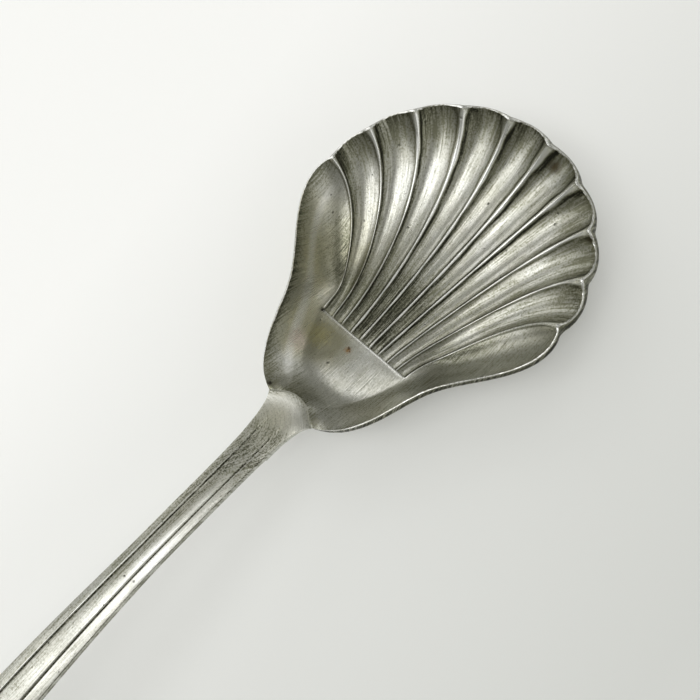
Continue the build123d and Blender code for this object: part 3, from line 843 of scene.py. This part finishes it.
seamFinish = {
    "silver": (0.40, 0.405, 0.365), "tarnishAndShade": (0.16, 0.16, 0.11), "grime": (0.02, 0.02, 0.014),
    "paintedHighlight": (0.80, 0.805, 0.75), "patina": (0.38, 0.36, 0.28),
    "roughness": (0.34, 0.50), "brushWidth": 0.14, "brushLength": 2.0, "grain": 0.25, "wave": 2.0, "cloud": 4.0,
    "clouds": 0.5, "specks": 0.4, "streaks": 0.2, "patch": 3.0, "patches": 0.5, "grimeGrain": (0.6, 1.25),
    "pits": ((1.2, 0.25), (0.6, 0.15)),
    "relief": {"brush": 0.004, "grain": 0.006, "wave": 0.01, "pit": 0.04},
    "spots": (), "stains": (),
}
# Where each kind of wear, painted highlight and painted shade begins and is full, on the scale of the noise or the
# grime and shading value that it comes from
wearAndShadingRanges = {
    "paintedHighlight": (-0.1, -0.6), "grime": (0.55, 1.0), "specks": (0.45, 1.0), "streaks": (0.48, 0.70),
    "scour": (0.35, 0.58), "scoured": (0.6, 1.15),  # brush marks thin the grime or thicken it
    "roughness": (0.3, 0.7), "dirtRoughness": 0.12, "detail": {"grain": 2.0, "wave": 1.0, "cloud": 5.0, "patch": 3.0},
    "spotEdge": (0.5, 1.15), "spotRagged": 0.6,  # shares of a spot's radius
}


def addGroup(tree, key, vector, **values):
    return addNode(tree, "ShaderNodeGroup", {"Vector": vector, **values}, node_tree=groups[key]).outputs[0]


def newMaterial(name):
    material = bpy.data.materials.new(name)
    material.use_nodes = True
    return material, material.node_tree, material.node_tree.nodes["Principled BSDF"]


# Round soft places of other colours, ragged by the grain; the first of them lies on top
def paintSpots(tree, colour, spots, inMm, grain):
    full, gone = wearAndShadingRanges["spotEdge"]
    for centre, radius, spotColour in reversed(spots):
        away = addNode(tree, "ShaderNodeVectorMath", {0: inMm, 1: centre}, operation="DISTANCE").outputs["Value"]
        away = maths(tree, "ADD", away, maths(tree, "MULTIPLY", grain, wearAndShadingRanges["spotRagged"] * radius))
        colour = mixColour(tree, remap(tree, away, full * radius, gone * radius, 1.0, 0.0), colour, spotColour)
    return colour


# Worn plate: brush marks and grain break up the shine, and tarnish stays in clouds, specks, streaks and grimy places;
# the grime and shading value also paints shade in the tarnish and near-black colours, and painted highlights below 0
def platedMaterial(name, finish):
    material, tree, shader = newMaterial(name)
    ranges = wearAndShadingRanges
    where = addNode(tree, "ShaderNodeTexCoord")
    inMm = addNode(tree, "ShaderNodeVectorMath", {0: where.outputs["Object"], "Scale": 1 / mm},
                   operation="SCALE").outputs[0]
    brushing = addNode(tree, "ShaderNodeAttribute", attribute_name="brush").outputs["Vector"]
    grime = addNode(tree, "ShaderNodeAttribute", attribute_name="grime").outputs["Fac"]
    marks = addGroup(tree, "brush", brushing, Width=finish["brushWidth"], Length=finish["brushLength"])
    grain, waves, clouds, patches = (addGroup(tree, "clouds", inMm, Size=finish[key], Detail=detail)
                                     for key, detail in ranges["detail"].items())
    pits = [addGroup(tree, "pits", inMm, Cell=cell, Share=share) for cell, share in finish["pits"]]
    pits = maths(tree, "MAXIMUM", pits[0], pits[1])

    # painted highlight where the grime and shading value is below 0
    paintedHighlight = remap(tree, grime, *ranges["paintedHighlight"], 0.0, 1.0)
    grime = maths(tree, "MULTIPLY", grime, remap(tree, grain, 0.0, 1.0, *finish["grimeGrain"]))
    grime = maths(tree, "MULTIPLY", grime, remap(tree, marks, *ranges["scour"], *ranges["scoured"]))
    # tarnish, with the painted shade that the grime and shading value holds
    tarnishAndShadeShare = maths(tree, "ADD", grime, maths(tree, "MULTIPLY", clouds, finish["clouds"]))
    tarnishAndShadeShare = maths(tree, "ADD", tarnishAndShadeShare, remap(tree, grain, *ranges["specks"], 0.0, finish["specks"]))
    tarnishAndShadeShare = maths(tree, "ADD", tarnishAndShadeShare, remap(tree, marks, *ranges["streaks"], 0.0, finish["streaks"]), clamp=True)
    colour = mixColour(tree, maths(tree, "MULTIPLY", patches, finish["patches"]), finish["silver"], finish["patina"])
    colour = paintSpots(tree, colour, finish["stains"], inMm, clouds)
    colour = mixColour(tree, tarnishAndShadeShare, colour, finish["tarnishAndShade"])
    colour = mixColour(tree, paintedHighlight, colour, finish["paintedHighlight"])
    # near black for the darkest dirt and painted shade
    colour = mixColour(tree, remap(tree, grime, *ranges["grime"], 0.0, 1.0), colour, finish["grime"])
    colour = paintSpots(tree, colour, finish["spots"], inMm, grain)
    colour = mixColour(tree, pits, colour, finish["grime"])

    rough = remap(tree, marks, *ranges["roughness"], *finish["roughness"])
    rough = maths(tree, "ADD", rough, maths(tree, "MULTIPLY", tarnishAndShadeShare, ranges["dirtRoughness"]))
    height = maths(tree, "MULTIPLY", marks, finish["relief"]["brush"])
    for value, key in ((grain, "grain"), (waves, "wave"), (pits, "pit")):
        part = maths(tree, "MULTIPLY", value, finish["relief"][key])
        height = maths(tree, "SUBTRACT" if key == "pit" else "ADD", height, part)
    bump = addNode(tree, "ShaderNodeBump", {"Strength": 1.0, "Distance": mm, "Height": height}).outputs[0]
    setInputs(tree, shader, {"Metallic": 1.0, "Base Color": colour, "Roughness": rough, "Normal": bump})
    return material


for piece, node, slotName, finish in ((bowl, "bowl", "worn_bowl_plate", bowlFinish),
                                      (handle, "handle", "brushed_handle_plate", handleFinish),
                                      (seam, "solder_seam", "silver_solder", seamFinish)):
    piece.data.materials.append(platedMaterial(slotName.replace("_", " "), finish))
    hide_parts(node)
    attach(piece, "root")
print("finishes set on", bowl.name, handle.name, seam.name)

# Floor and light
stageShape = {
    "floorSize": 16.0,
    "shadedNearColour": (0.67, 0.68, 0.66),  # floor at the lower right of the picture, darker there as painted shade where the light falls off
    "farColour": (0.95, 0.952, 0.942),  # and at its upper left
    "shadeFalloffRange": (-0.055, 0.045),
    "floorGlow": (0.165, 0.065),  # near and far: seen by the camera and in the plate, lights nothing
    "glowRange": (0.4, 3.0),  # fades over these distances, so the far floor meets the world
    "floorRoughness": 0.8, "floorSpecular": 0.1,
    "worldColour": (0.25, 0.25, 0.225),
    "distance": 0.9,  # of the lamps
    "lamps": {  # turn from the spoon's length and height in degrees, size, radiance
        "keyLight": (-106, 77, (0.44, 0.42), 1.85),
        "overheadLight": (160, 65, (0.62, 0.62), 1.7),
        "rightWindow": (76, 22, (0.7, 0.6), 1.2),
        "farWindow": (40, 46, (0.42, 0.40), 1.12),
        "leftWindow": (130, 38, (0.52, 0.6), 0.95),
        "skyLight": (98, 70, (0.3, 0.3), 0.3),
        "lowFill": (-18, 16, (0.7, 0.35), 0.6),
        "sideFill": (-78, 21, (0.8, 0.65), 0.6),
    },
}


def makeFloor():
    s, half = stageShape, stageShape["floorSize"] / 2
    mesh = bpy.data.meshes.new("paleFloor")
    mesh.from_pydata([(-half, -half, 0), (half, -half, 0), (half, half, 0), (-half, half, 0)], [], [(0, 1, 2, 3)])
    floor = addObject("paleFloor", mesh)
    material, tree, shader = newMaterial("pale floor")
    where = addNode(tree, "ShaderNodeTexCoord")
    place = addNode(tree, "ShaderNodeSeparateXYZ", {0: where.outputs["Object"]})
    # painted shade: the floor's colour darkens towards -Y, the lower right of the picture
    fade = remap(tree, place.outputs["Y"], *s["shadeFalloffRange"], 0.0, 1.0)
    colour = mixColour(tree, fade, s["shadedNearColour"], s["farColour"])
    rays = addNode(tree, "ShaderNodeLightPath").outputs
    seen = maths(tree, "MAXIMUM", rays["Is Camera Ray"], rays["Is Glossy Ray"])
    seen = maths(tree, "MAXIMUM", seen, rays["Is Transmission Ray"])
    away = addNode(tree, "ShaderNodeVectorMath", {0: where.outputs["Object"]}, operation="LENGTH").outputs["Value"]
    glow = remap(tree, away, *s["glowRange"], *s["floorGlow"])
    setInputs(tree, shader, {"Base Color": colour, "Roughness": s["floorRoughness"],
                             "Specular IOR Level": s["floorSpecular"], "Emission Color": colour,
                             "Emission Strength": maths(tree, "MULTIPLY", seen, glow)})
    mesh.materials.append(material)


def makeLamps():
    s, aim = stageShape, Vector((hingeX * mm, 0, 0))
    for name, (turn, height, size, radiance) in s["lamps"].items():
        turn, height = np.radians((turn, height))
        towards = Vector((np.cos(turn) * np.cos(height), np.sin(turn) * np.cos(height), np.sin(height)))
        data = bpy.data.lights.new(name, "AREA")
        data.shape = "RECTANGLE"
        data.size, data.size_y = size
        data.energy = radiance * np.pi * data.size * data.size_y
        light = addObject(name, data)
        light.location = aim + towards * s["distance"]
        light.rotation_euler = towards.to_track_quat("Z", "Y").to_euler()
    world = bpy.data.worlds.new("studio")
    world.use_nodes = True
    setInputs(world.node_tree, world.node_tree.nodes["Background"], {"Color": s["worldColour"]})
    scene.world = world


makeFloor()
makeLamps()

# Camera of the photograph: above the neck, tipped back a little, the spoon running up to the right
photoCamera = {
    "location": (32.65, -33.76, 105.72),  # millimetres
    "turn": (13.655, 12.925, -47.873),  # degrees
    "focalPixels": 760.0, "imagePixels": 700.0,
    "sensor": 36.0, "nearest": 5.0,  # millimetres
}


def makeCamera():
    c, data = photoCamera, bpy.data.cameras.new("photoCamera")
    data.sensor_width = c["sensor"]
    data.lens = c["sensor"] * c["focalPixels"] / c["imagePixels"]
    data.clip_start = c["nearest"] * mm
    camera = addObject("photoCamera", data)
    camera.location = Vector(c["location"]) * mm
    camera.rotation_euler = Euler(np.radians(c["turn"]))
    scene.camera = camera


makeCamera()
scene.view_settings.view_transform = "Standard"
print("stage, light and camera set")
